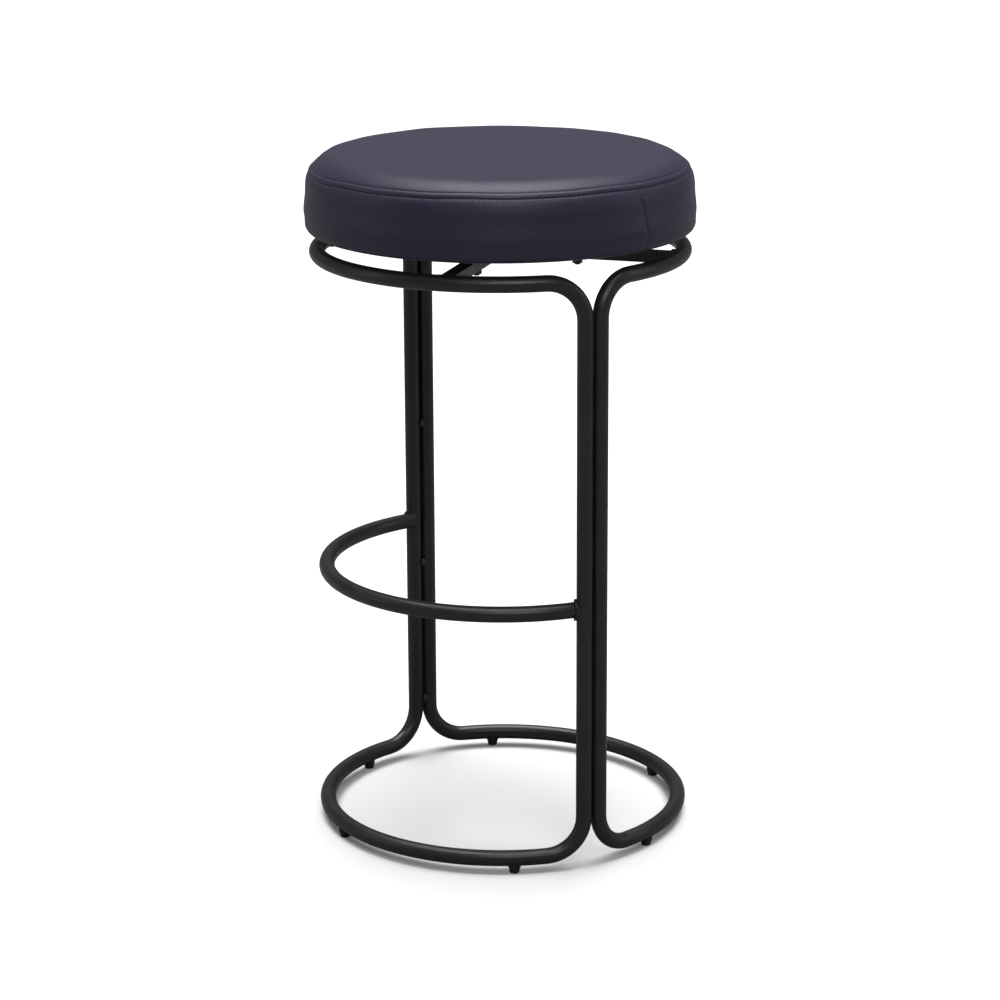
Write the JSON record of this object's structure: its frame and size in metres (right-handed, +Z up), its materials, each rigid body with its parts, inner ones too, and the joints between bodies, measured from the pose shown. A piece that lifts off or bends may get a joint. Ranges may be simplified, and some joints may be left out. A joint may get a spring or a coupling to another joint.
{
  "type": "bar stool",
  "caption": "Round padded bar stool: two bent black tube loops with rings top and bottom, a curved tube footrest and a leatherette seat that swivels.",
  "frame": {"origin": "on the floor, on the axis of the rings and the seat", "axes": "+Z up, +X through the two pairs of legs, footrest at -Y"},
  "size_m": [0.4384, 0.438, 0.779],
  "materials": {
    "frame_powder_coat": "satin",
    "zinc_steel": "satin",
    "staple_steel": "satin",
    "bearing_steel": "polished",
    "cage_plastic": "matte",
    "foot_plastic": "satin",
    "collar_rubber": "matte",
    "seat_leatherette": "satin",
    "plywood": "matte",
    "foam": "matte",
    "dust_cloth": "matte"
  },
  "bodies": {
    "frame": {"front_loop_tube": "frame_powder_coat", "rear_loop_tube": "frame_powder_coat", "footrest_tube": "frame_powder_coat", "leg_weld_beads": "frame_powder_coat", "footrest_weld_beads": "frame_powder_coat", "brace_bar_whole": "frame_powder_coat", "brace_bar_half_left": "frame_powder_coat", "brace_bar_half_right": "frame_powder_coat", "brace_weld_beads": "frame_powder_coat", "foot_glides": "foot_plastic", "foot_collars": "collar_rubber", "swivel_lower_plate": "zinc_steel", "swivel_pivot_rivet": "zinc_steel", "swivel_bolts": "zinc_steel", "swivel_washers": "zinc_steel", "swivel_nuts": "zinc_steel"},
    "ball_ring": {"swivel_ball_cage": "cage_plastic", "swivel_balls": "bearing_steel"},
    "seat": {"swivel_upper_plate": "zinc_steel", "seat_screws": "zinc_steel", "seat_board": "plywood", "seat_foam": "foam", "cover_top_panel": "seat_leatherette", "cover_side_band": "seat_leatherette", "seam_allowance": "seat_leatherette", "dust_cover": "dust_cloth", "seat_staples": "staple_steel"}
  },
  "joints": [
    {"name": "seat_swivel", "type": "hinge", "parent": "frame", "child": "seat", "pos_m": [0, 0, 0.6835], "axis": [0, 0, 1], "continuous": true},
    {"name": "ball_ring_roll", "type": "hinge", "parent": "frame", "child": "ball_ring", "pos_m": [0, 0, 0.6835], "axis": [0, 0, 1], "continuous": true}
  ],
  "couplings": [
    {"joint": "ball_ring_roll", "follows": "seat_swivel", "ratio": 0.5}
  ]
}
